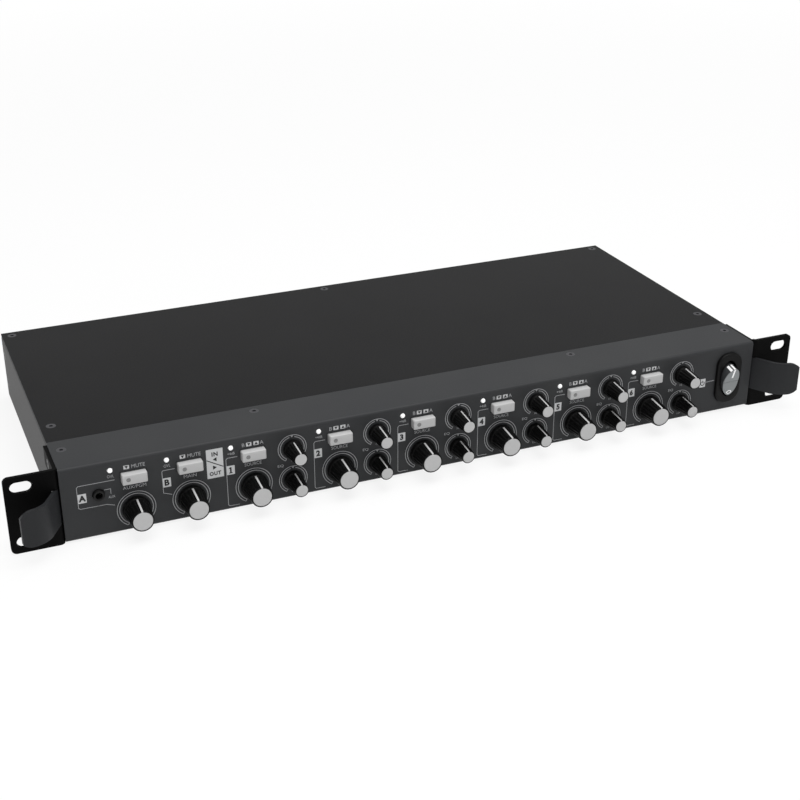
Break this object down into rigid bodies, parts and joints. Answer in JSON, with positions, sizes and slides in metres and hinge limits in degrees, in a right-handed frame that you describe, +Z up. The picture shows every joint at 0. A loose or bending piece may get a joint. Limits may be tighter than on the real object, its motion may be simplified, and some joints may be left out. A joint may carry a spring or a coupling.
{
  "type": "rack-mount stereo zone selector",
  "caption": "One-unit rack-mount zone selector: black sheet case, slotted ears with bent grips, front panel of turning knobs, latching buttons, lamps, a jack and a power rocker.",
  "frame": {"origin": "middle of the four rack slots, on the rear face of the ears, which lands on the rack's rails", "axes": "+X along the front to the right as seen by the user, +Y to the rear, +Z up"},
  "size_m": [0.4826, 0.2208, 0.0444],
  "materials": {
    "tray_paint": "black powder coat, fine texture, satin",
    "panel_paint": "dark grey powder coat, satin",
    "ear_paint": "black powder coat, matt",
    "grip_paint": "dark grey powder coat, satin",
    "screw_black": "black zinc",
    "screw_zinc": "bright zinc",
    "knob_plastic": "fine moulded texture",
    "button_plastic": "fine moulded texture",
    "lamp_lens": "clear moulded lens",
    "socket_plastic": "moulded, semi-gloss",
    "rocker_plastic": "moulded, semi-gloss",
    "board_laminate": "solder mask on glass laminate",
    "pot_shell": "tinned steel",
    "switch_shell": "moulded",
    "ribbon_vinyl": "extruded flat cable",
    "phono_plastic": "moulded",
    "phono_plate": "nickel plate",
    "inlet_plastic": "moulded, fine texture",
    "ferrite": "wound and taped core",
    "can_sleeve": "shrink sleeve on aluminium",
    "lead_vinyl": "extruded insulation"
  },
  "bodies": {
    "case": {"chassis_tray": "tray_paint", "rear_panel": "tray_paint", "top_cover": "tray_paint", "front_panel": "panel_paint", "rack_ear_left": "ear_paint", "rack_ear_right": "ear_paint", "ear_grip_left": "grip_paint", "ear_grip_right": "grip_paint", "case_screws": "screw_black", "ear_screws": "screw_black", "pan_screws": "screw_zinc", "control_board": "board_laminate", "panel_studs": "screw_zinc", "level_potentiometers": "pot_shell", "tone_potentiometers": "pot_shell", "push_switches": "switch_shell", "status_leds": "lamp_lens", "aux_jack": "socket_plastic", "rocker_frame": "socket_plastic", "main_board": "board_laminate", "psu_board": "board_laminate", "board_standoffs": "screw_zinc", "board_headers": "switch_shell", "ribbon_cable": "ribbon_vinyl", "phono_blocks": "phono_plastic", "input_barrels": "phono_plate", "output_barrels": "phono_plate", "mains_inlet": "inlet_plastic", "psu_transformer": "ferrite", "psu_capacitors": "can_sleeve", "mains_leads": "lead_vinyl"},
    "input_a_level_knob": {"input_a_level_knob": "knob_plastic"},
    "input_b_level_knob": {"input_b_level_knob": "knob_plastic"},
    "zone_1_level_knob": {"zone_1_level_knob": "knob_plastic"},
    "zone_2_level_knob": {"zone_2_level_knob": "knob_plastic"},
    "zone_3_level_knob": {"zone_3_level_knob": "knob_plastic"},
    "zone_4_level_knob": {"zone_4_level_knob": "knob_plastic"},
    "zone_5_level_knob": {"zone_5_level_knob": "knob_plastic"},
    "zone_6_level_knob": {"zone_6_level_knob": "knob_plastic"},
    "zone_1_treble_knob": {"zone_1_treble_knob": "knob_plastic"},
    "zone_1_bass_knob": {"zone_1_bass_knob": "knob_plastic"},
    "zone_2_treble_knob": {"zone_2_treble_knob": "knob_plastic"},
    "zone_2_bass_knob": {"zone_2_bass_knob": "knob_plastic"},
    "zone_3_treble_knob": {"zone_3_treble_knob": "knob_plastic"},
    "zone_3_bass_knob": {"zone_3_bass_knob": "knob_plastic"},
    "zone_4_treble_knob": {"zone_4_treble_knob": "knob_plastic"},
    "zone_4_bass_knob": {"zone_4_bass_knob": "knob_plastic"},
    "zone_5_treble_knob": {"zone_5_treble_knob": "knob_plastic"},
    "zone_5_bass_knob": {"zone_5_bass_knob": "knob_plastic"},
    "zone_6_treble_knob": {"zone_6_treble_knob": "knob_plastic"},
    "zone_6_bass_knob": {"zone_6_bass_knob": "knob_plastic"},
    "input_a_button": {"input_a_button": "button_plastic"},
    "input_b_button": {"input_b_button": "button_plastic"},
    "zone_1_button": {"zone_1_button": "button_plastic"},
    "zone_2_button": {"zone_2_button": "button_plastic"},
    "zone_3_button": {"zone_3_button": "button_plastic"},
    "zone_4_button": {"zone_4_button": "button_plastic"},
    "zone_5_button": {"zone_5_button": "button_plastic"},
    "zone_6_button": {"zone_6_button": "button_plastic"},
    "power_rocker": {"power_rocker": "rocker_plastic"}
  },
  "joints": [
    {"name": "input_a_level_turn", "type": "hinge", "parent": "case", "child": "input_a_level_knob", "pos_m": [-0.175, -0.002, -0.0092], "axis": [0, 1, 0], "range_deg": [-150, 150]},
    {"name": "input_b_level_turn", "type": "hinge", "parent": "case", "child": "input_b_level_knob", "pos_m": [-0.145, -0.002, -0.0092], "axis": [0, 1, 0], "range_deg": [-150, 150]},
    {"name": "zone_1_level_turn", "type": "hinge", "parent": "case", "child": "zone_1_level_knob", "pos_m": [-0.11, -0.002, -0.0092], "axis": [0, 1, 0], "range_deg": [-150, 150]},
    {"name": "zone_2_level_turn", "type": "hinge", "parent": "case", "child": "zone_2_level_knob", "pos_m": [-0.06, -0.002, -0.0092], "axis": [0, 1, 0], "range_deg": [-150, 150]},
    {"name": "zone_3_level_turn", "type": "hinge", "parent": "case", "child": "zone_3_level_knob", "pos_m": [-0.01, -0.002, -0.0092], "axis": [0, 1, 0], "range_deg": [-150, 150]},
    {"name": "zone_4_level_turn", "type": "hinge", "parent": "case", "child": "zone_4_level_knob", "pos_m": [0.04, -0.002, -0.0092], "axis": [0, 1, 0], "range_deg": [-150, 150]},
    {"name": "zone_5_level_turn", "type": "hinge", "parent": "case", "child": "zone_5_level_knob", "pos_m": [0.09, -0.002, -0.0092], "axis": [0, 1, 0], "range_deg": [-150, 150]},
    {"name": "zone_6_level_turn", "type": "hinge", "parent": "case", "child": "zone_6_level_knob", "pos_m": [0.14, -0.002, -0.0092], "axis": [0, 1, 0], "range_deg": [-150, 150]},
    {"name": "zone_1_treble_turn", "type": "hinge", "parent": "case", "child": "zone_1_treble_knob", "pos_m": [-0.0875, -0.002, 0.0089], "axis": [0, 1, 0], "range_deg": [-150, 150]},
    {"name": "zone_1_bass_turn", "type": "hinge", "parent": "case", "child": "zone_1_bass_knob", "pos_m": [-0.0875, -0.002, -0.0102], "axis": [0, 1, 0], "range_deg": [-150, 150]},
    {"name": "zone_2_treble_turn", "type": "hinge", "parent": "case", "child": "zone_2_treble_knob", "pos_m": [-0.0375, -0.002, 0.0089], "axis": [0, 1, 0], "range_deg": [-150, 150]},
    {"name": "zone_2_bass_turn", "type": "hinge", "parent": "case", "child": "zone_2_bass_knob", "pos_m": [-0.0375, -0.002, -0.0102], "axis": [0, 1, 0], "range_deg": [-150, 150]},
    {"name": "zone_3_treble_turn", "type": "hinge", "parent": "case", "child": "zone_3_treble_knob", "pos_m": [0.0125, -0.002, 0.0089], "axis": [0, 1, 0], "range_deg": [-150, 150]},
    {"name": "zone_3_bass_turn", "type": "hinge", "parent": "case", "child": "zone_3_bass_knob", "pos_m": [0.0125, -0.002, -0.0102], "axis": [0, 1, 0], "range_deg": [-150, 150]},
    {"name": "zone_4_treble_turn", "type": "hinge", "parent": "case", "child": "zone_4_treble_knob", "pos_m": [0.0625, -0.002, 0.0089], "axis": [0, 1, 0], "range_deg": [-150, 150]},
    {"name": "zone_4_bass_turn", "type": "hinge", "parent": "case", "child": "zone_4_bass_knob", "pos_m": [0.0625, -0.002, -0.0102], "axis": [0, 1, 0], "range_deg": [-150, 150]},
    {"name": "zone_5_treble_turn", "type": "hinge", "parent": "case", "child": "zone_5_treble_knob", "pos_m": [0.1125, -0.002, 0.0089], "axis": [0, 1, 0], "range_deg": [-150, 150]},
    {"name": "zone_5_bass_turn", "type": "hinge", "parent": "case", "child": "zone_5_bass_knob", "pos_m": [0.1125, -0.002, -0.0102], "axis": [0, 1, 0], "range_deg": [-150, 150]},
    {"name": "zone_6_treble_turn", "type": "hinge", "parent": "case", "child": "zone_6_treble_knob", "pos_m": [0.1625, -0.002, 0.0089], "axis": [0, 1, 0], "range_deg": [-150, 150]},
    {"name": "zone_6_bass_turn", "type": "hinge", "parent": "case", "child": "zone_6_bass_knob", "pos_m": [0.1625, -0.002, -0.0102], "axis": [0, 1, 0], "range_deg": [-150, 150]},
    {"name": "input_a_press", "type": "slide", "parent": "case", "child": "input_a_button", "axis": [0, 1, 0], "range_m": [0, 0.0018], "stiffness_N_per_m": 300, "springref_m": -0.002},
    {"name": "input_b_press", "type": "slide", "parent": "case", "child": "input_b_button", "axis": [0, 1, 0], "range_m": [0, 0.0018], "stiffness_N_per_m": 300, "springref_m": -0.002},
    {"name": "zone_1_press", "type": "slide", "parent": "case", "child": "zone_1_button", "axis": [0, 1, 0], "range_m": [0, 0.0018], "stiffness_N_per_m": 300, "springref_m": -0.002},
    {"name": "zone_2_press", "type": "slide", "parent": "case", "child": "zone_2_button", "axis": [0, 1, 0], "range_m": [0, 0.0018], "stiffness_N_per_m": 300, "springref_m": -0.002},
    {"name": "zone_3_press", "type": "slide", "parent": "case", "child": "zone_3_button", "axis": [0, 1, 0], "range_m": [0, 0.0018], "stiffness_N_per_m": 300, "springref_m": -0.002},
    {"name": "zone_4_press", "type": "slide", "parent": "case", "child": "zone_4_button", "axis": [0, 1, 0], "range_m": [0, 0.0018], "stiffness_N_per_m": 300, "springref_m": -0.002},
    {"name": "zone_5_press", "type": "slide", "parent": "case", "child": "zone_5_button", "axis": [0, 1, 0], "range_m": [0, 0.0018], "stiffness_N_per_m": 300, "springref_m": -0.002},
    {"name": "zone_6_press", "type": "slide", "parent": "case", "child": "zone_6_button", "axis": [0, 1, 0], "range_m": [0, 0.0018], "stiffness_N_per_m": 300, "springref_m": -0.002},
    {"name": "power_rock", "type": "hinge", "parent": "case", "child": "power_rocker", "pos_m": [0.1962, -0.0018, 0.0007], "axis": [-1, 0, 0], "range_deg": [0, 27]}
  ]
}
